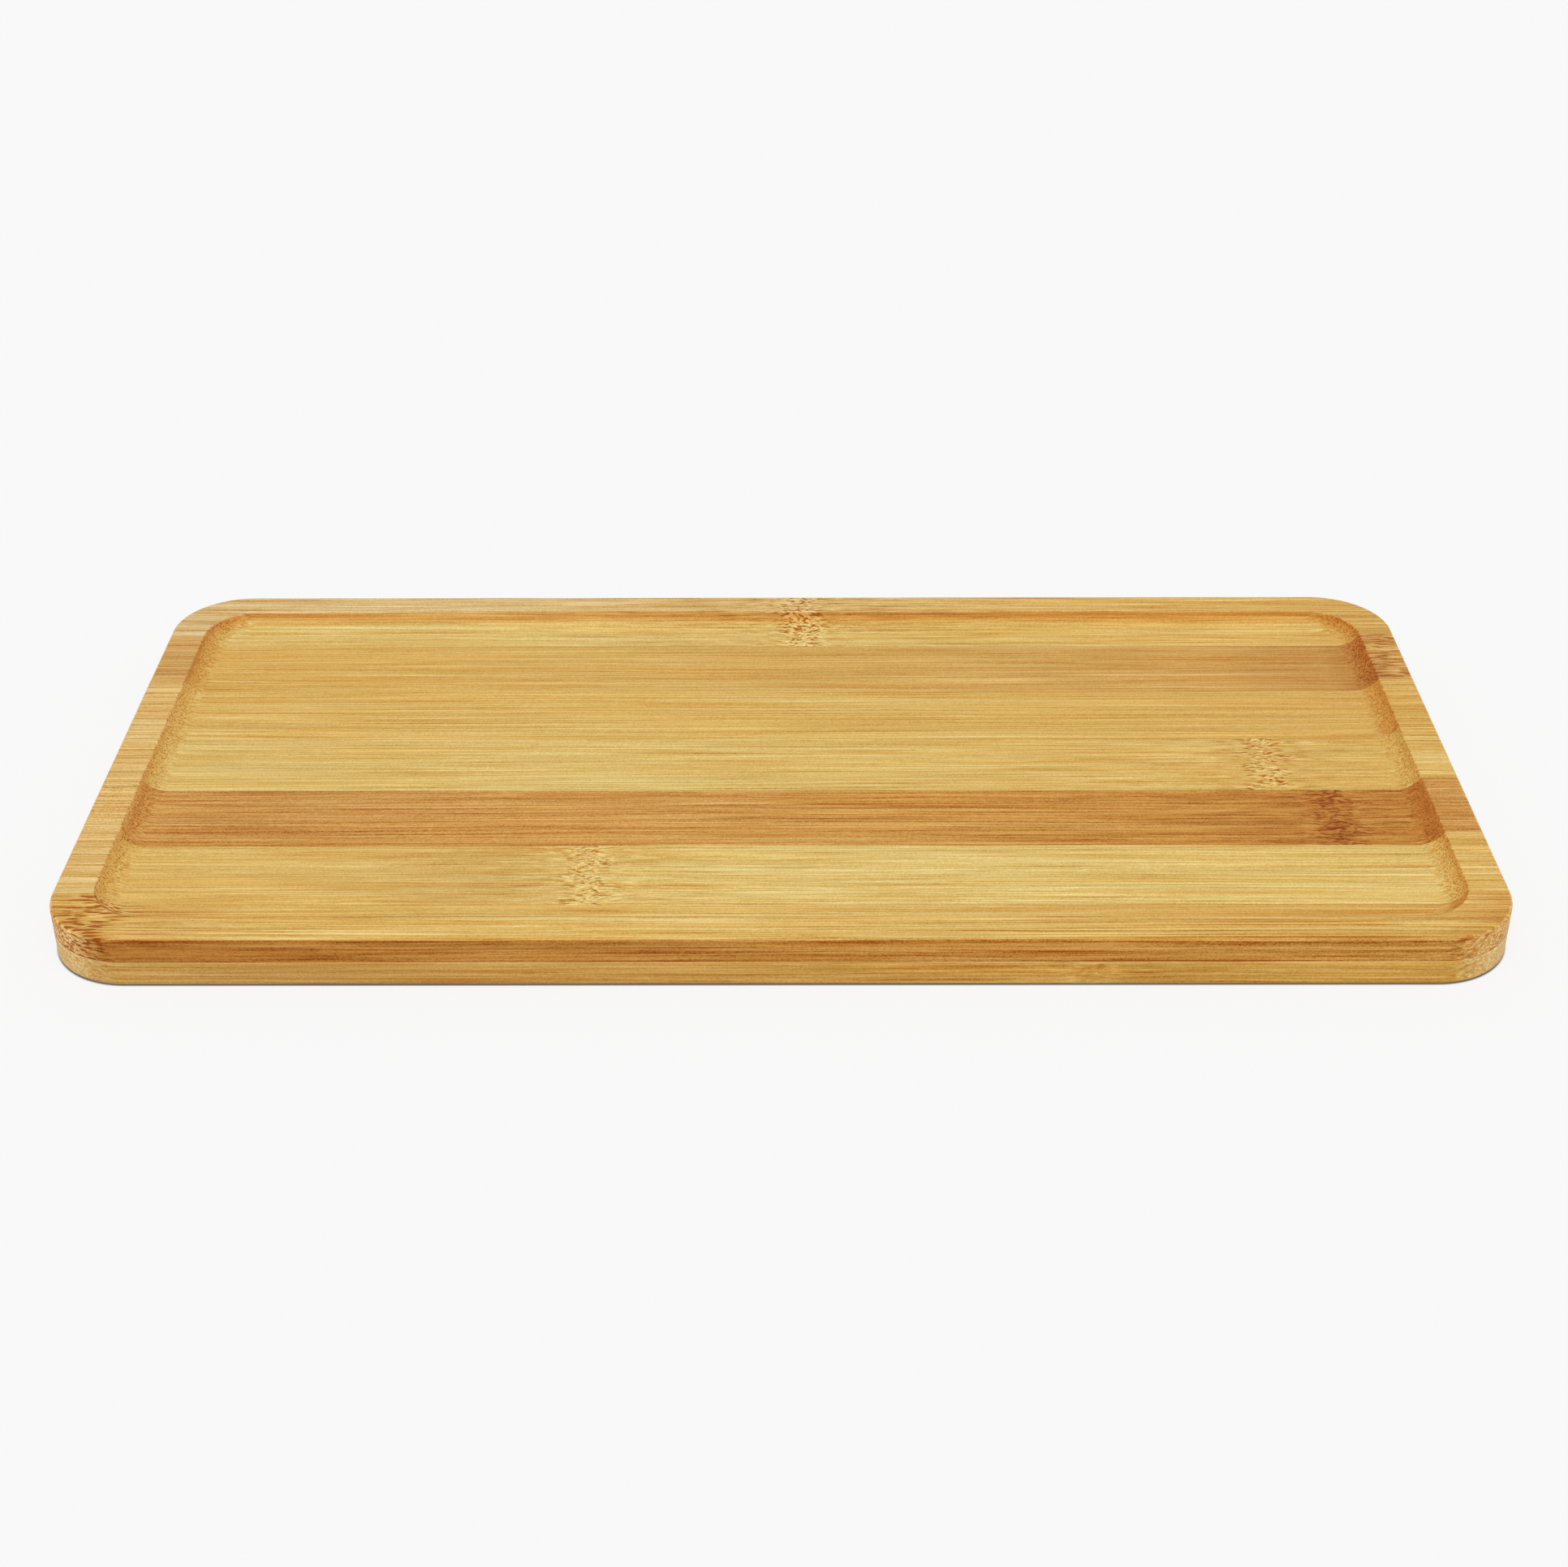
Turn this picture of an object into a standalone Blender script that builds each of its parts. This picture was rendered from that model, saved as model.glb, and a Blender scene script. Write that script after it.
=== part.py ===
"""Rectangular bamboo serving tray with a shallow routed recess.

The tray is a board of two glued plies. Each ply is made of parallel bamboo slats, and the
seams of the two plies are staggered. The board is cut to a rounded outline, its outer edges
are eased, and a coved recess is routed into the top ply, which leaves a flat rim.

Metres, +Z up. The origin is under the middle of the tray, on the surface it stands on.
+X runs along the slats and -Y is the long front side.
"""

import math

import bmesh
import bpy
from mathutils import Vector

# Finished outline
TRAY_LENGTH = 0.300
TRAY_WIDTH = 0.150
CORNER_RADIUS = 0.0173
EDGE_ROUND = 0.0007

# Plies and the slats they are glued up from
TOP_PLY = 0.0053
BASE_PLY = 0.0056
GLUE_LINE = 0.0003
SLAT_WIDTH = 0.0225
TOP_BACK_SLAT_WIDTH = 0.0206
BASE_BACK_SLAT_WIDTH = 0.0150

# Recess, measured at the rim
RIM_WIDTH = 0.0083
RECESS_DEPTH = 0.0032
RECESS_CORNER_RADIUS = 0.0120
COVE_RADIUS = 0.00635

# How finely the round stretches are cut
CORNER_STEPS = 10
COVE_STEPS = 7
EDGE_STEPS = 3
SHARP_ANGLE_DEG = 40

# How far the recess cutter stands above the rim
CUTTER_HEADROOM = 0.004

# Heights that follow from the plies
TOP_PLY_UNDERSIDE = BASE_PLY + GLUE_LINE
TRAY_HEIGHT = TOP_PLY_UNDERSIDE + TOP_PLY
RECESS_FLOOR = TRAY_HEIGHT - RECESS_DEPTH

# Bamboo tones as linear colours, and the tone of each slat from back to front
PALE = (0.70, 0.465, 0.138)
HONEY = (0.68, 0.435, 0.125)
TAN = (0.64, 0.385, 0.108)
CARAMEL = (0.57, 0.275, 0.068)
TOP_SLAT_TONES = (HONEY, TAN, HONEY, PALE, CARAMEL, PALE, HONEY)
BASE_SLAT_TONES = (PALE, HONEY, TAN, PALE, HONEY, PALE, TAN)
BAMBOO_ROUGHNESS = 0.42


def clear_scene():
    for old in list(bpy.data.objects):
        bpy.data.objects.remove(old, do_unlink=True)


def new_collection(name):
    made = bpy.data.collections.new(name)
    bpy.context.scene.collection.children.link(made)
    return made


def bamboo_material(slat_name, tone):
    material = bpy.data.materials.new("bamboo_" + slat_name)
    material.use_nodes = True
    shader = material.node_tree.nodes["Principled BSDF"]
    shader.inputs["Base Color"].default_value = (*tone, 1.0)
    shader.inputs["Roughness"].default_value = BAMBOO_ROUGHNESS
    shader.inputs["Metallic"].default_value = 0.0
    return material


def smooth_rounds(mesh):
    """Shades the rounds smooth and keeps the sawn edges sharp."""
    mesh.shade_smooth()
    mesh.set_sharp_from_angle(angle=math.radians(SHARP_ANGLE_DEG))


def rounded_block(length, width, bottom, top, corner_radius):
    """A block on the origin in plan, with its four upright edges rounded."""
    shape = bmesh.new()
    bmesh.ops.create_cube(shape, size=1.0)
    bmesh.ops.scale(shape, vec=(length, width, top - bottom), verts=shape.verts)
    bmesh.ops.translate(shape, vec=(0, 0, (bottom + top) / 2), verts=shape.verts)
    upright = [e for e in shape.edges if abs(e.verts[0].co.z - e.verts[1].co.z) > 0]
    bmesh.ops.bevel(
        shape, geom=upright, offset=corner_radius, segments=CORNER_STEPS, profile=0.5,
        affect="EDGES",
    )
    return shape


def round_rim_edges(shape, height, radius, steps):
    """Rounds the edges that run round the block's face at this height."""
    face = min(shape.faces, key=lambda f: abs(f.calc_center_median().z - height))
    bmesh.ops.bevel(
        shape, geom=list(face.edges), offset=radius, segments=steps, profile=0.5,
        affect="EDGES",
    )


def cove_overhang():
    """How far the cutter's full outline stands outside the opening at the rim."""
    above_rim = max(COVE_RADIUS - RECESS_DEPTH, 0.0)
    return COVE_RADIUS - math.sqrt(COVE_RADIUS**2 - above_rim**2)


def make_recess_cutter(collection):
    """The space that a round-cornered router bit sweeps: a block with a rounded bottom edge."""
    overhang = cove_overhang()
    shape = rounded_block(
        TRAY_LENGTH - 2 * (RIM_WIDTH - overhang),
        TRAY_WIDTH - 2 * (RIM_WIDTH - overhang),
        RECESS_FLOOR,
        RECESS_FLOOR + COVE_RADIUS + RECESS_DEPTH + CUTTER_HEADROOM,
        RECESS_CORNER_RADIUS + overhang,
    )
    round_rim_edges(shape, RECESS_FLOOR, COVE_RADIUS, COVE_STEPS)
    mesh = bpy.data.meshes.new("recess_cutter")
    shape.to_mesh(mesh)
    shape.free()
    smooth_rounds(mesh)
    cutter = bpy.data.objects.new("recess_cutter", mesh)
    cutter.hide_render = True
    cutter.display_type = "WIRE"
    collection.objects.link(cutter)
    return cutter


def slat_spans(back_slat_width):
    """(front, back) edges of each slat of a ply, from back to front. The front slat takes the rest."""
    back_edge = TRAY_WIDTH / 2
    pitch_count = max(1, round((TRAY_WIDTH - back_slat_width) / SLAT_WIDTH))
    seams = [back_edge - back_slat_width - k * SLAT_WIDTH for k in range(pitch_count)]
    edges = [back_edge, *seams, -TRAY_WIDTH / 2]
    return [(front, back) for back, front in zip(edges, edges[1:])]


def saw_off(shape, y, keep_behind):
    """Saws a block through at this y and keeps the side behind it or in front of it."""
    cut = bmesh.ops.bisect_plane(
        shape,
        geom=[*shape.verts, *shape.edges, *shape.faces],
        plane_co=(0, y, 0),
        plane_no=(0, 1, 0),
        clear_inner=keep_behind,
        clear_outer=not keep_behind,
    )
    sawn_edges = [g for g in cut["geom_cut"] if isinstance(g, bmesh.types.BMEdge)]
    bmesh.ops.edgeloop_fill(shape, edges=sawn_edges)
    bmesh.ops.recalc_face_normals(shape, faces=shape.faces)


def make_slat(name, span, ply, tone, collection, parent):
    """One slat of a ply: the eased board blank, sawn out between the slat's two seams."""
    front, back = span
    bottom, top, eased_face = ply
    shape = rounded_block(TRAY_LENGTH, TRAY_WIDTH, bottom, top, CORNER_RADIUS)
    round_rim_edges(shape, eased_face, EDGE_ROUND, EDGE_STEPS)
    if back < TRAY_WIDTH / 2:
        saw_off(shape, back - GLUE_LINE / 2, keep_behind=False)
    if front > -TRAY_WIDTH / 2:
        saw_off(shape, front + GLUE_LINE / 2, keep_behind=True)
    centre = Vector((0, (front + back) / 2, (bottom + top) / 2))
    bmesh.ops.translate(shape, vec=-centre, verts=shape.verts)
    mesh = bpy.data.meshes.new(name)
    shape.to_mesh(mesh)
    shape.free()
    smooth_rounds(mesh)
    mesh.materials.append(bamboo_material(name, tone))
    slat = bpy.data.objects.new(name, mesh)
    slat.location = centre
    slat.parent = parent
    collection.objects.link(slat)
    return slat


def rout_recess(slat, cutter):
    rout = slat.modifiers.new("routed_recess", "BOOLEAN")
    rout.operation = "DIFFERENCE"
    rout.object = cutter


def build_tray():
    clear_scene()
    pieces = new_collection("serving_tray")
    cutters = new_collection("cutters")
    board = bpy.data.objects.new("board", None)
    pieces.objects.link(board)
    cutter = make_recess_cutter(cutters)

    top_ply = (TOP_PLY_UNDERSIDE, TRAY_HEIGHT, TRAY_HEIGHT)
    for number, span in enumerate(slat_spans(TOP_BACK_SLAT_WIDTH)):
        tone = TOP_SLAT_TONES[number % len(TOP_SLAT_TONES)]
        slat = make_slat(f"top_slat_{number + 1}", span, top_ply, tone, pieces, board)
        rout_recess(slat, cutter)

    base_ply = (0.0, BASE_PLY, 0.0)
    for number, span in enumerate(slat_spans(BASE_BACK_SLAT_WIDTH)):
        tone = BASE_SLAT_TONES[number % len(BASE_SLAT_TONES)]
        make_slat(f"base_slat_{number + 1}", span, base_ply, tone, pieces, board)


build_tray()
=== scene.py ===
import math

import bmesh
import bpy
from mathutils import Matrix


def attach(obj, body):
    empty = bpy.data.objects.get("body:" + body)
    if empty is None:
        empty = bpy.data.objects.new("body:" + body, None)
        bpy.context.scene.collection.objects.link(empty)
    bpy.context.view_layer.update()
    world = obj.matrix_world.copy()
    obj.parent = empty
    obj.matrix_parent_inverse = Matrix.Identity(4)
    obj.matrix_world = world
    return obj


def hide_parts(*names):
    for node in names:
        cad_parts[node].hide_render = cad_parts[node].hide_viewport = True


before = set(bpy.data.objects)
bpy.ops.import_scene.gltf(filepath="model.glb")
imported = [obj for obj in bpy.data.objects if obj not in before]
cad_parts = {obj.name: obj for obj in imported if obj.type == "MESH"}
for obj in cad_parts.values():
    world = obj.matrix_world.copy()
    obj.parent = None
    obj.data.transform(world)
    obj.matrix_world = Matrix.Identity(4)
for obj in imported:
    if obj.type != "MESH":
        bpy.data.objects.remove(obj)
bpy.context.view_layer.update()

# The tray, in metres
TRAY_LENGTH = 0.300
TRAY_WIDTH = 0.150
TRAY_HEIGHT = 0.0112
PLY_JOINT = 0.00575
CORNER_RADIUS = 0.0173
OUTER_EASE = 0.0007
RIM_WIDTH = 0.0083
RIM_EASE = 0.00035
RECESS_DEPTH = 0.0032
RECESS_CORNER_RADIUS = 0.0120
COVE_RADIUS = 0.00635
GLUE_GAP = 0.00004
BIT_LENGTH = 0.02

# Steps in each rounding, and the angle in degrees from which an edge stays sharp
CORNER_STEPS = 32
OUTER_EASE_STEPS = 5
RIM_EASE_STEPS = 3
RECESS_CORNER_STEPS = 28
COVE_STEPS = 20
SHARP_FROM = 35

# Margins in metres for picking edges and for sawing
UPRIGHT_FROM = 0.001
SAME_HEIGHT = 0.00001
BELOW_RIM = 0.00002
RIM_MARGIN = 0.0001
SAW_MARGIN = 0.000001

# Seams from back to front
TOP_SEAMS = [0.0544, 0.0319, 0.0094, -0.0131, -0.0356, -0.0581]
BASE_SEAMS = [0.0600, 0.0375, 0.0150, -0.0075, -0.0300, -0.0525]

# Bamboo tones as linear colours
CREAM = (0.70, 0.490, 0.198)
PEACH = (0.70, 0.450, 0.146)
BUTTER = (0.735, 0.525, 0.163)
STRAW = (0.70, 0.487, 0.147)
GOLD = (0.69, 0.442, 0.117)
HONEY = (0.665, 0.404, 0.099)
FAWN = (0.64, 0.385, 0.112)
TAN = (0.615, 0.345, 0.086)
HAZEL = (0.58, 0.322, 0.087)
CARAMEL = (0.60, 0.303, 0.070)
TOFFEE = (0.55, 0.252, 0.044)
AMBER = (0.50, 0.220, 0.042)
SIENNA = (0.645, 0.340, 0.082)
UMBER = (0.37, 0.118, 0.010)

# Tones of the sawn outer ends, and how much of them covers the slat's own tone
TOP_END = (0.83, 0.51, 0.165)
BASE_END = (0.84, 0.58, 0.230)
END_COVER = 0.75

# Painted shade on slopes and sides along the fibres, painted light on the recess half way along,
# and tints of its ends, where the cove is cut across the fibres
PAINTED_SLOPE_SHADE = (0.99, 0.91, 0.76)
PAINTED_ORANGE_SLOPE_SHADE = (0.92, 0.66, 0.40)
PAINTED_MIDDLE_LIGHT = (1.02, 1.06, 1.11)
PALE_COVE = (0.99, 0.98, 0.97)
DARK_COVE = (0.94, 0.72, 0.50)

# Tints of the grain from its darkest to its palest, and of single fibres
GRAIN_TINTS = [
    (0.0, (0.62, 0.30, 0.09)),
    (0.25, (0.83, 0.72, 0.54)),
    (0.50, (1.0, 1.0, 1.0)),
    (0.75, (1.18, 1.30, 1.65)),
    (1.0, (1.33, 1.58, 2.30)),
]
COOL_FIBRE = (0.98, 1.05, 1.18)
WARM_FIBRE = (1.02, 0.95, 0.82)
ORANGE_HAIR = (0.90, 0.66, 0.36)
ORANGE_HAIR_SHARE = 0.55

# Places in mm: along the slat, where one tone gives way to another, and up the outer edge
END_TO_END = (-120.0, 120.0)
# where the painted light half way along the recess fades out towards the ends
LIT_MIDDLE_TO_ENDS = (20.0, 110.0)
RECESS_TO_RIM = (9.6, 11.0)
EDGE_LINE_BEGINS = (9.9, 10.4)
EDGE_LINE_ENDS = (10.6, 11.0)

# How far a face's normal turns between a slope and a flat, a flat and an outer end, an inner end
# and a flat, and a flat and a side
SLOPE_TO_FLAT = (0.55, 0.97)
FLAT_TO_OUTER_END = (0.10, 0.65)
INNER_END_TO_FLAT = (-0.60, -0.08)
FLAT_TO_SIDE = (0.35, 0.85)

# How far up its own layer each mark begins and ends
ORANGE_HAIR_EDGE = (0.56, 0.70)
PALE_HAIR_EDGE = (0.28, 0.40)
DOT_EDGE = (0.24, 0.54)
KNOT_EDGE = (0.34, 0.54)
COOL_TO_WARM = (0.30, 0.70)

# Share of the joint's reach that has its full shade
JOINT_CORE = 0.3

# The run of the fibres: grain per mm far from a node, and how far in mm the fibres lean, how
# ragged a node is, how near to it they crowd, and how far its core and its surroundings reach
LONG_GRAIN = 0.011
FIBRE_LEAN = 1.8
NODE_RAGGED = 9.0
CROWD_REACH = 2.4
NODE_CORE = (2.0, 7.0)
NODE_AROUND = (4.0, 18.0)
CORE_SHARE = 0.72
STAIN_RAGGED = 0.8

# How deep each layer of the grain goes, and how much of the wood the knots and the dots cover
STREAK_DEPTH = 0.82
FIBRE_DEPTH = 0.95
BAND_DEPTH = 0.26
PATCH_DEPTH = 0.12
PALE_HAIR_LIFT = 0.12
FLECK_DEPTH = 0.62
DASH_DEPTH = 0.28
NODE_DOT_DEPTH = 0.60
FAINT_DOT_DEPTH = 0.03
EDGE_LINE_SHADE = -0.16
KNOT_COVER = 0.25
DOT_COVER = 0.18

# How much weaker the grain is in the cove and on the outer edge, and knots and dots on outer ends
COVE_LOSS = 0.4
SIDE_FLECKS = 0.85
END_KNOT_LOSS = 0.9
END_DOT_LOSS = 0.62

# Dots are closer together through the slat than across it
DOT_FLATTENING = 1.75

# Sheen and relief of the sanded wood
ROUGHNESS_LEAST = 0.38
ROUGHNESS_SPREAD = 0.22
WOOD_SPECULAR = 0.08
RELIEF_STRENGTH = 0.4
RELIEF_HEIGHT = 0.00010

# Where the grain of the first slat of each ply starts, and how far on that of the next one does
TOP_SEED = 11.3
BASE_SEED = 173.9
SEED_STEP = 13.7

# The studio, in metres, degrees and plain strengths
FLOOR_SIZE = 6
FLOOR_DROP = 0.00005
FLOOR_TONE = (0.75, 0.75, 0.75)
FLOOR_ROUGHNESS = 0.9
BACKDROP_TONE = (0.98, 0.98, 0.98)
BACKDROP_SHARE = 0.85
FOOT_SHADOW_REACH = 0.0009
FOOT_SHADOW_FADE = (0.40, 0.78)
FOOT_SHADOW_DARKEST = 0.10
WHITE = (1.0, 1.0, 1.0)
SKY_LIGHT = 0.62
SKY_SHOWN = 0.94
KEY_PLACE = (0, -0.5, 1.0)
KEY_LIGHT = 1.25
KEY_SPREAD = 70
KEY_TILT = 20

# The photograph's viewpoint, for a square picture 1932 pixels wide
CAMERA_PLACE = (0.00140, -0.46976, 0.28932)
CAMERA_PITCH = 31.469
CAMERA_YAW = 0.0978
CAMERA_ROLL = -0.1145
CAMERA_LENS = 55.44
CAMERA_SENSOR = 36
CAMERA_NEAR = 0.01


def deselect_all():
    bpy.ops.object.select_all(action="DESELECT")


def pick_edges(piece, wanted):
    """Selects the edges of the piece in edit mode for which wanted is true."""
    shape = bmesh.from_edit_mesh(piece.data)
    for edge in shape.edges:
        edge.select_set(False)
    for edge in shape.edges:
        if wanted(edge):
            edge.select_set(True)
    bmesh.update_edit_mesh(piece.data)


def is_upright(edge):
    a, b = edge.verts
    return abs(a.co.z - b.co.z) > UPRIGHT_FROM


def lies_at(edge, height):
    return all(abs(v.co.z - height) < SAME_HEIGHT for v in edge.verts)


def round_picked(radius, steps):
    bpy.ops.mesh.bevel(offset=radius, segments=steps, profile=0.5, affect="EDGES")


def rounded_block(name, length, width, bottom, top, corner_radius, corner_steps):
    """A block with its four upright edges rounded, left in edit mode."""
    deselect_all()
    bpy.ops.mesh.primitive_cube_add(
        size=1, location=(0, 0, (bottom + top) / 2), scale=(length, width, top - bottom)
    )
    block = bpy.context.object
    block.name = name
    bpy.ops.object.transform_apply(location=True, rotation=True, scale=True)
    bpy.ops.object.mode_set(mode="EDIT")
    bpy.ops.mesh.select_mode(type="EDGE")
    pick_edges(block, is_upright)
    round_picked(corner_radius, corner_steps)
    return block


def ease_edges(block, height, radius, steps):
    """Rounds the edges that run round the block's face at this height."""
    pick_edges(block, lambda edge: lies_at(edge, height))
    round_picked(radius, steps)


def recess_tool():
    """The space that the router bit sweeps, with a round bottom edge."""
    above_rim = COVE_RADIUS - RECESS_DEPTH
    overhang = COVE_RADIUS - math.sqrt(COVE_RADIUS**2 - above_rim**2)
    floor = TRAY_HEIGHT - RECESS_DEPTH
    tool = rounded_block(
        "recess_tool",
        TRAY_LENGTH - 2 * (RIM_WIDTH - overhang),
        TRAY_WIDTH - 2 * (RIM_WIDTH - overhang),
        floor,
        floor + BIT_LENGTH,
        RECESS_CORNER_RADIUS + overhang,
        RECESS_CORNER_STEPS,
    )
    ease_edges(tool, floor, COVE_RADIUS, COVE_STEPS)
    bpy.ops.object.mode_set(mode="OBJECT")
    return tool


def runs_round_recess(edge):
    """True for the sharp edge where the recess wall meets the flat rim."""
    if not lies_at(edge, TRAY_HEIGHT) or len(edge.link_faces) != 2:
        return False
    low = min(face.calc_center_median().z for face in edge.link_faces)
    inside = all(
        abs(v.co.x) < TRAY_LENGTH / 2 - RIM_WIDTH + RIM_MARGIN
        and abs(v.co.y) < TRAY_WIDTH / 2 - RIM_WIDTH + RIM_MARGIN
        for v in edge.verts
    )
    return inside and low < TRAY_HEIGHT - BELOW_RIM


def make_ply(name, bottom, top, eased_height):
    """One ply before it is sawn into slats, with its outer edge eased at one height."""
    ply = rounded_block(name, TRAY_LENGTH, TRAY_WIDTH, bottom, top, CORNER_RADIUS, CORNER_STEPS)
    ease_edges(ply, eased_height, OUTER_EASE, OUTER_EASE_STEPS)
    bpy.ops.object.mode_set(mode="OBJECT")
    return ply


def make_top_ply():
    ply = make_ply("top_ply", PLY_JOINT + GLUE_GAP / 2, TRAY_HEIGHT, TRAY_HEIGHT)
    tool = recess_tool()
    deselect_all()
    bpy.context.view_layer.objects.active = ply
    ply.select_set(True)
    rout = ply.modifiers.new("rout", "BOOLEAN")
    rout.operation = "DIFFERENCE"
    rout.object = tool
    bpy.ops.object.modifier_apply(modifier="rout")
    bpy.data.objects.remove(tool, do_unlink=True)
    bpy.ops.object.mode_set(mode="EDIT")
    bpy.ops.mesh.select_mode(type="EDGE")
    pick_edges(ply, runs_round_recess)
    round_picked(RIM_EASE, RIM_EASE_STEPS)
    bpy.ops.object.mode_set(mode="OBJECT")
    return ply


def make_base_ply():
    return make_ply("base_ply", 0.0, PLY_JOINT - GLUE_GAP / 2, 0.0)


def saw(y, keep_behind):
    """Saws the slat in edit mode along X and closes the cut."""
    bpy.ops.mesh.select_all(action="SELECT")
    bpy.ops.mesh.bisect(
        plane_co=(0, y, 0),
        plane_no=(0, 1, 0),
        use_fill=True,
        clear_inner=keep_behind,
        clear_outer=not keep_behind,
        threshold=SAW_MARGIN,
    )


def saw_slats(ply, prefix, seams):
    """Copies the ply once for each slat and saws each copy out between its seams."""
    slats = []
    edges = [None, *seams, None]
    for number, (back, front) in enumerate(zip(edges, edges[1:]), start=1):
        deselect_all()
        bpy.context.view_layer.objects.active = ply
        ply.select_set(True)
        bpy.ops.object.duplicate(linked=False)
        slat = bpy.context.object
        slat.name = f"{prefix}_{number}_board"
        bpy.ops.object.mode_set(mode="EDIT")
        if back is not None:
            saw(back - GLUE_GAP / 2, keep_behind=False)
        if front is not None:
            saw(front + GLUE_GAP / 2, keep_behind=True)
        bpy.ops.object.mode_set(mode="OBJECT")
        bpy.ops.object.shade_smooth_by_angle(angle=math.radians(SHARP_FROM))
        even = slat.modifiers.new("even_shading", "WEIGHTED_NORMAL")
        even.keep_sharp = True
        even.weight = 100
        bpy.ops.object.modifier_apply(modifier="even_shading")
        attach(slat, "root")
        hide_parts(f"{prefix}_{number}")
        slats.append(slat)
    bpy.data.objects.remove(ply, do_unlink=True)
    return slats


def paint(red, green, blue):
    return (red, green, blue, 1.0)


class Finish:
    """A material whose nodes are placed and joined one by one."""

    def __init__(self, name):
        self.material = bpy.data.materials.new(name)
        self.material.use_nodes = True
        self.tree = self.material.node_tree
        self.shader = self.tree.nodes["Principled BSDF"]

    def node(self, kind, **settings):
        made = self.tree.nodes.new(kind)
        for key, value in settings.items():
            setattr(made, key, value)
        return made

    def feed(self, socket, value):
        if isinstance(value, bpy.types.NodeSocket):
            self.tree.links.new(value, socket)
        else:
            socket.default_value = value

    def calc(self, operation, a, b=0.0, c=0.0):
        made = self.node("ShaderNodeMath", operation=operation)
        for socket, value in zip(made.inputs, (a, b, c)):
            self.feed(socket, value)
        return made.outputs[0]

    def split(self, vector):
        made = self.node("ShaderNodeSeparateXYZ")
        self.feed(made.inputs[0], vector)
        return made.outputs[0], made.outputs[1], made.outputs[2]

    def join(self, x, y, z):
        made = self.node("ShaderNodeCombineXYZ")
        for socket, value in zip(made.inputs, (x, y, z)):
            self.feed(socket, value)
        return made.outputs[0]

    def stretch(self, vector, scale, place=(0, 0, 0)):
        made = self.node("ShaderNodeMapping")
        self.feed(made.inputs["Vector"], vector)
        made.inputs["Scale"].default_value = scale
        made.inputs["Location"].default_value = place
        return made.outputs[0]

    def step(self, value, low, high, start=0.0, end=1.0):
        """Goes smoothly from start to end while the value goes from low to high."""
        made = self.node("ShaderNodeMapRange", interpolation_type="SMOOTHSTEP")
        names = ("Value", "From Min", "From Max", "To Min", "To Max")
        for key, setting in zip(names, (value, low, high, start, end)):
            self.feed(made.inputs[key], setting)
        return made.outputs["Result"]

    def fade(self, value, low, high, start=1.0):
        return self.step(value, low, high, start, 0.0)

    def noise(self, vector, scale, place, detail, roughness=0.5):
        made = self.node("ShaderNodeTexNoise")
        self.feed(made.inputs["Vector"], self.stretch(vector, scale, place))
        made.inputs["Scale"].default_value = 1.0
        made.inputs["Detail"].default_value = detail
        made.inputs["Roughness"].default_value = roughness
        return made

    def layer(self, vector, scale, place, detail, roughness=0.5):
        """Noise from 0 to 1, about half of it on either side of 0.5."""
        return self.noise(vector, scale, place, detail, roughness).outputs["Fac"]

    def swing(self, layer, depth):
        """A layer's light and dark, either side of nothing."""
        return self.calc("MULTIPLY", self.calc("SUBTRACT", layer, 0.5), depth)

    def between(self, share, low, high):
        made = self.node("ShaderNodeMix", data_type="FLOAT")
        sockets = (made.inputs[0], made.inputs[2], made.inputs[3])
        for socket, value in zip(sockets, (share, low, high)):
            self.feed(socket, value)
        return made.outputs[0]

    def blend(self, share, under, over, mode="MIX"):
        made = self.node("ShaderNodeMix", data_type="RGBA", blend_type=mode)
        sockets = (made.inputs[0], made.inputs[6], made.inputs[7])
        for socket, value in zip(sockets, (share, under, over)):
            self.feed(socket, value)
        return made.outputs[2]

    def left_to_right(self, right_share, tones):
        left, right = tones
        return self.blend(right_share, paint(*left), paint(*right))


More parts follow.
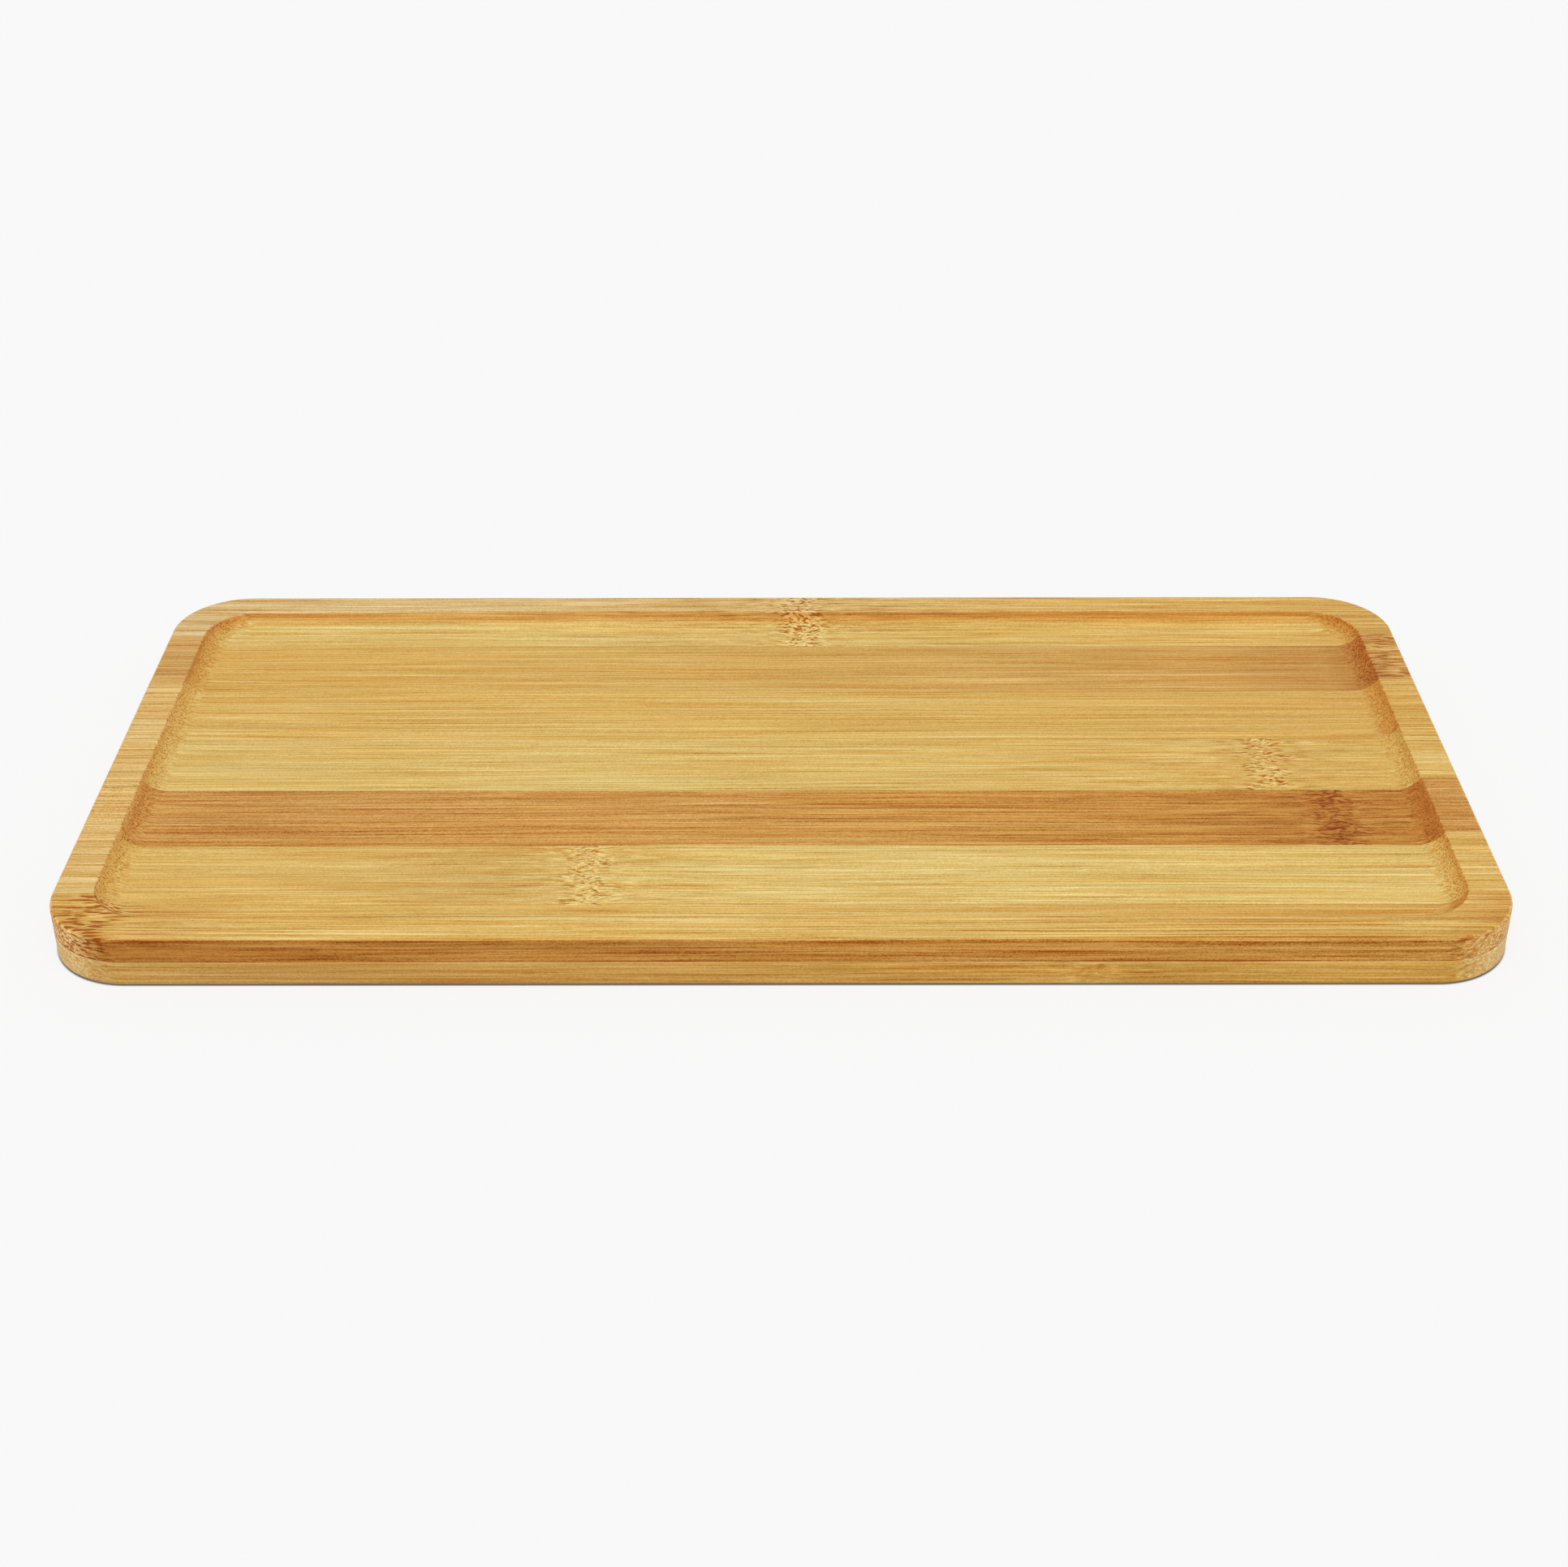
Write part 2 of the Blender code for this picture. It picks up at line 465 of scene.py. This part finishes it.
def lay_grain(f, mm, seed, growth_nodes, node_bend):
    """Coordinates in which the fibres lie, and how near to a growth node each point is.

    The first coordinates are long and straight far from a node. Towards a node they get ever
    shorter. The second keep to mm along the slat. Both bend by up to node_bend mm at a node. A
    node is its place along X in mm, its strength, and how closely it crowds the fibres.
    """
    x, y, z = f.split(mm)
    along = f.calc("MULTIPLY", x, LONG_GRAIN)
    core = 0.0
    around = 0.0
    ragged = f.layer(mm, (0.05, 0.30, 0.30), (seed, 3, 7), 2.0)
    for where, strength, crowding in growth_nodes:
        straight_off = f.calc("SUBTRACT", x, where + NODE_RAGGED / 2)
        off = f.calc("MULTIPLY_ADD", ragged, NODE_RAGGED, straight_off)
        far = f.calc("ABSOLUTE", off)
        reach = f.calc("DIVIDE", far, CROWD_REACH)
        root = f.calc("SQRT", f.calc("MULTIPLY_ADD", reach, reach, 1.0))
        crowded = f.calc("LOGARITHM", f.calc("ADD", reach, root), math.e)
        crowded = f.calc("MULTIPLY", crowded, f.calc("SIGN", off))
        along = f.calc("MULTIPLY_ADD", crowded, crowding, along)
        core = f.calc("MAXIMUM", core, f.fade(far, *NODE_CORE, strength))
        around = f.calc("MAXIMUM", around, f.fade(far, *NODE_AROUND, strength))
    around = f.calc("MULTIPLY", around, 1.0 - CORE_SHARE)
    growth = f.calc("MULTIPLY_ADD", core, CORE_SHARE, around)

    wander = f.noise(mm, (0.009, 0.07, 0.07), (seed, seed, 0), 1.0).outputs["Color"]
    bend = f.noise(mm, (0.20, 0.26, 0.26), (seed, 0, 5), 1.0).outputs["Color"]
    across = []
    for straight, lean, turn in zip((y, z), f.split(wander)[1:], f.split(bend)[1:]):
        leaning = f.calc("ADD", f.swing(lean, FIBRE_LEAN), straight)
        turning = f.swing(turn, growth)
        across.append(f.calc("MULTIPLY_ADD", turning, node_bend, leaning))
    return f.join(along, *across), f.join(x, *across), growth


def spread_stain(f, mm, seed, stains):
    """How strongly each point is stained.

    A stain is its place along X and its half length, in mm, and its strength.
    """
    x = f.split(mm)[0]
    cloud = f.layer(mm, (0.06, 0.25, 0.25), (5, seed, 2), 2.0)
    stained = 0.0
    for where, half_length, strength in stains:
        ragged = half_length * STAIN_RAGGED
        off = f.calc("MULTIPLY_ADD", cloud, ragged, f.calc("SUBTRACT", x, where + ragged / 2))
        stain = f.fade(f.calc("ABSOLUTE", off), 0.0, half_length, strength)
        stained = f.calc("MAXIMUM", stained, stain)
    return stained


def grain_colours(f, shade):
    """Turns the light and dark of the grain into brown through cream, to lay over a ground tone."""
    ramp = f.node("ShaderNodeValToRGB")
    stops = ramp.color_ramp.elements
    darkest, *middle, palest = GRAIN_TINTS
    for stop, (at, tint) in zip(stops, (darkest, palest)):
        stop.position = at
        stop.color = paint(*tint)
    for at, tint in middle:
        stops.new(at).color = paint(*tint)
    f.feed(ramp.inputs["Fac"], f.calc("ADD", shade, 0.5))
    return ramp.outputs["Color"]


def bamboo(
    name,
    seed,
    floor,
    rim,
    side=(TAN, TAN),
    growth_nodes=(),
    node_shade=0.06,
    node_bend=2.0,
    knot_width=0.70,
    knot_strength=0.45,
    dash_strength=0.0,
    dot_width=0.50,
    dot_strength=0.42,
    stains=(),
    stain_tone=UMBER,
    side_stains=(),
    contrast=1.0,
    rim_contrast=1.4,
    side_contrast=1.2,
    cove=(0.3, 0.75),
    # painted shade tint for the slope of the cove
    cove_slope_shade=PAINTED_SLOPE_SHADE,
    end_tone=TOP_END,
    joint_shade=-0.24,
    joint_reach=0.40,
):
    """Bamboo for one slat, with its fibres along X.

    floor, rim and side are the tones at the left and the right end of the slat: in the recess, on
    the rim, and on the outer edge. stains are laid over the first two in stain_tone, and
    side_stains over the third. At a growth node the wood has small dark knots, knot_width mm
    across, or long dashes, where the dots of its end grain, dot_width mm apart, are cut
    lengthwise. The contrasts say how crisp the grain is in the recess, on the rim and on the outer
    edge. cove says how dark the end grain is at the two ends of the recess, and cove_slope_shade is
    the painted shade on the slope of the cove. end_tone is laid over the sawn outer ends, and
    joint_shade over the wood within joint_reach mm of the joint between the plies. The slopes and
    sides along the fibres get painted shade, and the recess half way along gets painted light.
    """
    f = Finish(name)
    place = f.node("ShaderNodeTexCoord")
    mm = f.stretch(place.outputs["Object"], (1000, 1000, 1000))
    x, y, z = f.split(mm)
    normal_x, normal_y, normal_z = f.split(place.outputs["Normal"])
    grain, even_grain, growth = lay_grain(f, mm, seed, growth_nodes, node_bend)

    # layers of the grain
    lines = f.layer(grain, (1.0, 1.7, 1.7), (seed, 0, 0), 2.0, 0.60)
    bands = f.layer(grain, (0.5, 0.35, 0.35), (0, 0, seed), 1.0)
    fibres = f.layer(even_grain, (0.028, 2.3, 2.3), (0, seed, 0), 3.0, 0.62)
    dashes = f.layer(even_grain, (0.40, 2.6, 2.6), (6, seed, 9), 1.0)
    flecks = f.layer(even_grain, (2.0, 3.0, 3.0), (0, 0, seed), 1.0, 0.60)
    patches = f.layer(even_grain, (0.022, 0.16, 0.16), (seed, 8, 1), 2.0)
    warmth = f.layer(even_grain, (0.014, 1.4, 1.4), (2, 5, seed), 2.0)
    hairs = f.layer(even_grain, (0.010, 2.6, 2.6), (seed, 4, seed), 0.0)
    orange_hair = f.step(hairs, *ORANGE_HAIR_EDGE)
    pale_hair = f.fade(hairs, *PALE_HAIR_EDGE)
    dots = f.node("ShaderNodeTexVoronoi", feature="F1")
    dot_scale = (1.0, 1.0 / dot_width, DOT_FLATTENING / dot_width)
    f.feed(dots.inputs["Vector"], f.stretch(grain, dot_scale, (seed, seed, 0)))
    dots.inputs["Scale"].default_value = 1.0
    bundle = f.fade(dots.outputs["Distance"], *DOT_EDGE)
    knots = f.layer(grain, (1.0, 1.0 / knot_width, 1.0 / knot_width), (seed, 1, 2), 1.0)
    knot = f.fade(knots, *KNOT_EDGE)

    # how the wood was cut: flat along the fibres, sloping, or across the fibres
    slope = f.fade(f.calc("ABSOLUTE", normal_z), *SLOPE_TO_FLAT)
    facing_out = f.calc("MULTIPLY", normal_x, f.calc("SIGN", x))
    outer_end = f.step(facing_out, *FLAT_TO_OUTER_END)
    inner_end = f.fade(facing_out, *INNER_END_TO_FLAT)
    end_grain = f.calc("MAXIMUM", outer_end, inner_end)
    rim_share = f.step(z, *RECESS_TO_RIM)
    side_share = f.step(f.calc("MULTIPLY", normal_y, f.calc("SIGN", y)), *FLAT_TO_SIDE)

    # ground tone, with painted light half way along the recess and painted shade on slopes and
    # sides
    right_share = f.step(x, *END_TO_END)
    # painted light: the recess is paler half way along than towards its ends
    middle_light_share = f.fade(f.calc("ABSOLUTE", x), *LIT_MIDDLE_TO_ENDS)
    tone = f.left_to_right(right_share, floor)
    tone = f.blend(middle_light_share, tone, paint(*PAINTED_MIDDLE_LIGHT), "MULTIPLY")
    tone = f.blend(rim_share, tone, f.left_to_right(right_share, rim))
    tone = f.blend(spread_stain(f, mm, seed, stains), tone, paint(*stain_tone))
    side_tone = f.left_to_right(right_share, side)
    side_tone = f.blend(spread_stain(f, mm, seed, side_stains), side_tone, paint(*UMBER))
    tone = f.blend(side_share, tone, side_tone)
    # painted shade: slopes and sides along the fibres are tinted darker and warmer
    slope_shade_share = f.calc("MULTIPLY", slope, f.calc("SUBTRACT", 1.0, outer_end))
    slope_shade_tint = f.blend(side_share, paint(*cove_slope_shade), paint(*PAINTED_SLOPE_SHADE))
    tone = f.blend(slope_shade_share, tone, slope_shade_tint, "MULTIPLY")
    cove_tint = f.blend(f.between(right_share, *cove), paint(*PALE_COVE), paint(*DARK_COVE))
    tone = f.blend(inner_end, tone, cove_tint, "MULTIPLY")
    tone = f.blend(f.calc("MULTIPLY", outer_end, END_COVER), tone, paint(*end_tone))

    # how strong the grain is on each face
    smooth_cove = f.calc("MULTIPLY_ADD", inner_end, -COVE_LOSS, 1.0)
    crisp = f.between(rim_share, contrast, rim_contrast)
    crisp = f.between(side_share, crisp, side_contrast)
    crisp = f.calc("MULTIPLY", crisp, smooth_cove)
    flecked = f.between(side_share, contrast, side_contrast * SIDE_FLECKS)
    flecked = f.calc("MULTIPLY", flecked, smooth_cove)
    knotted = f.calc("MULTIPLY_ADD", outer_end, -END_KNOT_LOSS, 1.0)
    knotted = f.calc("MULTIPLY", growth, knotted)
    dotted = f.calc("MULTIPLY_ADD", outer_end, -END_DOT_LOSS * dot_strength, dot_strength)
    dotted = f.calc("MULTIPLY_ADD", growth, NODE_DOT_DEPTH, dotted)
    dotted = f.calc("MULTIPLY_ADD", end_grain, dotted, FAINT_DOT_DEPTH)
    dotted = f.calc("MULTIPLY_ADD", growth, dash_strength, dotted)

    # light and dark of the grain
    shade = f.calc("MULTIPLY", f.swing(lines, STREAK_DEPTH), f.calc("ADD", crisp, knotted))
    knot_depth = f.calc("MULTIPLY", f.calc("SUBTRACT", KNOT_COVER, knot), knot_strength)
    shade = f.calc("MULTIPLY_ADD", knot_depth, knotted, shade)
    fine = f.calc("ADD", f.swing(fibres, FIBRE_DEPTH), f.swing(bands, BAND_DEPTH))
    fine = f.calc("ADD", fine, f.swing(patches, PATCH_DEPTH))
    fine = f.calc("MULTIPLY_ADD", pale_hair, PALE_HAIR_LIFT, fine)
    shade = f.calc("MULTIPLY_ADD", fine, crisp, shade)
    short = f.calc("ADD", f.swing(flecks, FLECK_DEPTH), f.swing(dashes, DASH_DEPTH))
    shade = f.calc("MULTIPLY_ADD", short, flecked, shade)
    shade = f.calc("MULTIPLY_ADD", growth, node_shade, shade)
    dot_shade = f.calc("SUBTRACT", DOT_COVER, bundle)
    shade = f.calc("MULTIPLY_ADD", dot_shade, dotted, shade)
    from_joint = f.calc("ABSOLUTE", f.calc("SUBTRACT", z, PLY_JOINT * 1000))
    near_joint = f.fade(from_joint, joint_reach * JOINT_CORE, joint_reach)
    shade = f.calc("MULTIPLY_ADD", near_joint, joint_shade, shade)
    edge_line = f.calc("MULTIPLY", f.step(z, *EDGE_LINE_BEGINS), f.fade(z, *EDGE_LINE_ENDS))
    edge_line = f.calc("MULTIPLY", edge_line, side_share)
    shade = f.calc("MULTIPLY_ADD", edge_line, EDGE_LINE_SHADE, shade)

    # colour
    colour = f.blend(1.0, tone, grain_colours(f, shade), "MULTIPLY")
    hue = f.blend(f.step(warmth, *COOL_TO_WARM), paint(*COOL_FIBRE), paint(*WARM_FIBRE))
    colour = f.blend(1.0, colour, hue, "MULTIPLY")
    orange_share = f.calc("MULTIPLY", orange_hair, ORANGE_HAIR_SHARE)
    colour = f.blend(orange_share, colour, paint(*ORANGE_HAIR), "MULTIPLY")
    f.feed(f.shader.inputs["Base Color"], colour)

    # sheen and relief
    roughness = f.calc("MULTIPLY_ADD", fibres, ROUGHNESS_SPREAD, ROUGHNESS_LEAST)
    f.feed(f.shader.inputs["Roughness"], roughness)
    f.shader.inputs["Specular IOR Level"].default_value = WOOD_SPECULAR
    relief = f.node("ShaderNodeBump")
    relief.inputs["Strength"].default_value = RELIEF_STRENGTH
    relief.inputs["Distance"].default_value = RELIEF_HEIGHT
    f.feed(relief.inputs["Height"], shade)
    f.feed(f.shader.inputs["Normal"], relief.outputs["Normal"])
    return f.material


def base_look(slot, left, right, where, side=(HONEY, HONEY), strength=1.0, crowding=1.6, **more):
    """A slat of the base ply, with one growth node and a pale line at the joint."""
    recipe = dict(
        floor=(left, right),
        rim=(left, right),
        side=side,
        growth_nodes=[(where, strength, crowding)],
        dot_strength=0.18,
        end_tone=BASE_END,
        joint_shade=0.14,
        joint_reach=1.1,
    )
    return slot, {**recipe, **more}


# Looks from back to front, with the slot for each slat
TOP_LOOKS = [
    (
        "bamboo_honey",
        dict(
            floor=(STRAW, GOLD),
            rim=(CREAM, HONEY),
            growth_nodes=[(5, 1.1, 2.4)],
            knot_width=0.52,
            knot_strength=0.90,
            stains=[(-150, 34, 0.10), (150, 34, 0.12), (5, 80, 0.10)],
            cove=(0.38, 0.40),
            # painted shade: the back cove's slope is tinted darker and more orange
            cove_slope_shade=PAINTED_ORANGE_SLOPE_SHADE,
        ),
    ),
    (
        "bamboo_tan",
        dict(
            floor=(HONEY, TAN),
            rim=(HAZEL, TAN),
            growth_nodes=[(146, 1.2, 0.7)],
            node_shade=0.0,
            node_bend=0.6,
            knot_width=0.75,
            knot_strength=0.55,
            dash_strength=0.15,
            stains=[(139, 15, 0.45), (126, 26, 0.24)],
            cove=(0.4, 1.0),
        ),
    ),
    (
        "bamboo_honey",
        dict(floor=(GOLD, HONEY), rim=(PEACH, HONEY), cove=(0.0, 0.8)),
    ),
    (
        "bamboo_pale",
        dict(
            floor=(STRAW, GOLD),
            rim=(PEACH, GOLD),
            growth_nodes=[(109, 1.0, 1.7)],
            knot_width=0.48,
            knot_strength=0.72,
            stains=[(109, 26, 0.08)],
            cove=(0.3, 0.12),
        ),
    ),
    (
        "bamboo_caramel",
        dict(
            floor=(CARAMEL, TOFFEE),
            rim=(PEACH, SIENNA),
            growth_nodes=[(121, 1.2, 1.6)],
            node_shade=-0.08,
            knot_width=0.60,
            knot_strength=0.70,
            stains=[(120, 11, 0.75), (124, 54, 0.37), (-112, 34, 0.16)],
            contrast=1.6,
            cove=(0.2, 0.7),
        ),
    ),
    (
        "bamboo_pale",
        dict(
            floor=(GOLD, BUTTER),
            rim=(PEACH, GOLD),
            growth_nodes=[(-41, 1.0, 2.0)],
            node_shade=0.09,
            knot_width=0.45,
            knot_strength=0.60,
            stains=[(-64, 46, 0.20)],
            cove=(0.1, 0.62),
        ),
    ),
    (
        "bamboo_honey",
        dict(
            floor=(GOLD, HONEY),
            rim=(GOLD, GOLD),
            side=(AMBER, SIENNA),
            growth_nodes=[(-141, 1.2, 0.65)],
            node_shade=-0.05,
            node_bend=0.6,
            knot_width=0.60,
            knot_strength=0.18,
            dash_strength=0.72,
            dot_width=1.0,
            dot_strength=0.28,
            stains=[(-143, 22, 0.55), (-128, 20, 0.42), (151, 24, 0.80), (104, 44, 0.20)],
            stain_tone=TOFFEE,
            side_stains=[(-134, 30, 0.45)],
            rim_contrast=1.7,
            side_contrast=1.9,
            cove=(0.05, 1.0),
        ),
    ),
]
BASE_LOOKS = [
    base_look("bamboo_pale", STRAW, GOLD, -70),
    base_look("bamboo_honey", HONEY, GOLD, 92),
    base_look("bamboo_tan", TAN, HONEY, -18),
    base_look("bamboo_pale", GOLD, STRAW, 120),
    base_look("bamboo_honey", HONEY, HONEY, -112),
    base_look("bamboo_pale", STRAW, STRAW, 30),
    base_look(
        "bamboo_tan",
        TAN,
        HONEY,
        62,
        side=(FAWN, HONEY),
        strength=0.5,
        crowding=1.0,
        knot_strength=0.15,
    ),
]


def dress(slats, looks, first_seed):
    for number, (slat, (slot, recipe)) in enumerate(zip(slats, looks)):
        look = bamboo(f"bamboo_{slat.name}", first_seed + SEED_STEP * number, **recipe)
        slat.data.materials.clear()
        slat.data.materials.append(look)


def show_backdrop(tree):
    """1 for the rays that show the background itself, 0 for those that light the tray."""
    rays = tree.nodes.new("ShaderNodeLightPath")
    shown = rays.outputs["Is Camera Ray"]
    for kind in ("Is Glossy Ray", "Is Transmission Ray"):
        either = tree.nodes.new("ShaderNodeMath")
        either.operation = "MAXIMUM"
        tree.links.new(shown, either.inputs[0])
        tree.links.new(rays.outputs[kind], either.inputs[1])
        shown = either.outputs[0]
    return shown


def mix_backdrop(tree, share, lighting, backdrop, output):
    """Mixes what lights the tray with what shows as the background, and puts it out."""
    mixed = tree.nodes.new("ShaderNodeMixShader")
    for socket, source in zip(mixed.inputs, (share, lighting.outputs[0], backdrop.outputs[0])):
        tree.links.new(source, socket)
    tree.links.new(mixed.outputs[0], tree.nodes[output].inputs["Surface"])


def make_floor():
    deselect_all()
    bpy.ops.mesh.primitive_plane_add(size=FLOOR_SIZE, location=(0, 0, -FLOOR_DROP))
    floor = bpy.context.object
    floor.name = "studio_floor"
    f = Finish("pale_floor")
    f.shader.inputs["Base Color"].default_value = paint(*FLOOR_TONE)
    f.shader.inputs["Roughness"].default_value = FLOOR_ROUGHNESS
    f.shader.inputs["Specular IOR Level"].default_value = 0.0
    backdrop = f.node("ShaderNodeEmission")
    backdrop.inputs["Color"].default_value = paint(*BACKDROP_TONE)

    # the close shadow along the foot of the tray
    closeness = f.node("ShaderNodeAmbientOcclusion")
    closeness.inputs["Distance"].default_value = FOOT_SHADOW_REACH
    shadow = f.step(closeness.outputs["AO"], *FOOT_SHADOW_FADE, FOOT_SHADOW_DARKEST)
    f.feed(backdrop.inputs["Strength"], shadow)

    share = f.calc("MULTIPLY", show_backdrop(f.tree), BACKDROP_SHARE)
    mix_backdrop(f.tree, share, f.shader, backdrop, "Material Output")
    floor.data.materials.append(f.material)


def light_studio():
    world = bpy.data.worlds.new("soft_studio")
    bpy.context.scene.world = world
    world.use_nodes = True
    tree = world.node_tree
    sky = tree.nodes["Background"]
    backdrop = tree.nodes.new("ShaderNodeBackground")
    for background, strength in ((sky, SKY_LIGHT), (backdrop, SKY_SHOWN)):
        background.inputs["Color"].default_value = paint(*WHITE)
        background.inputs["Strength"].default_value = strength
    mix_backdrop(tree, show_backdrop(tree), sky, backdrop, "World Output")
    deselect_all()
    bpy.ops.object.light_add(type="SUN", location=KEY_PLACE)
    key = bpy.context.object
    key.name = "soft_key"
    key.data.energy = KEY_LIGHT
    key.data.angle = math.radians(KEY_SPREAD)
    key.rotation_euler = (math.radians(KEY_TILT), 0, 0)


def place_camera():
    deselect_all()
    bpy.ops.object.camera_add()
    camera = bpy.context.object
    camera.data.sensor_width = CAMERA_SENSOR
    camera.data.lens = CAMERA_LENS
    camera.data.clip_start = CAMERA_NEAR
    camera.matrix_world = (
        Matrix.Translation(CAMERA_PLACE)
        @ Matrix.Rotation(math.radians(CAMERA_YAW), 4, "Z")
        @ Matrix.Rotation(math.radians(90 - CAMERA_PITCH), 4, "X")
        @ Matrix.Rotation(math.radians(CAMERA_ROLL), 4, "Z")
    )
    bpy.context.scene.camera = camera


top_slats = saw_slats(make_top_ply(), "top_slat", TOP_SEAMS)
base_slats = saw_slats(make_base_ply(), "base_slat", BASE_SEAMS)
dress(top_slats, TOP_LOOKS, TOP_SEED)
dress(base_slats, BASE_LOOKS, BASE_SEED)
make_floor()
light_studio()
place_camera()
bpy.context.scene.view_settings.view_transform = "Standard"
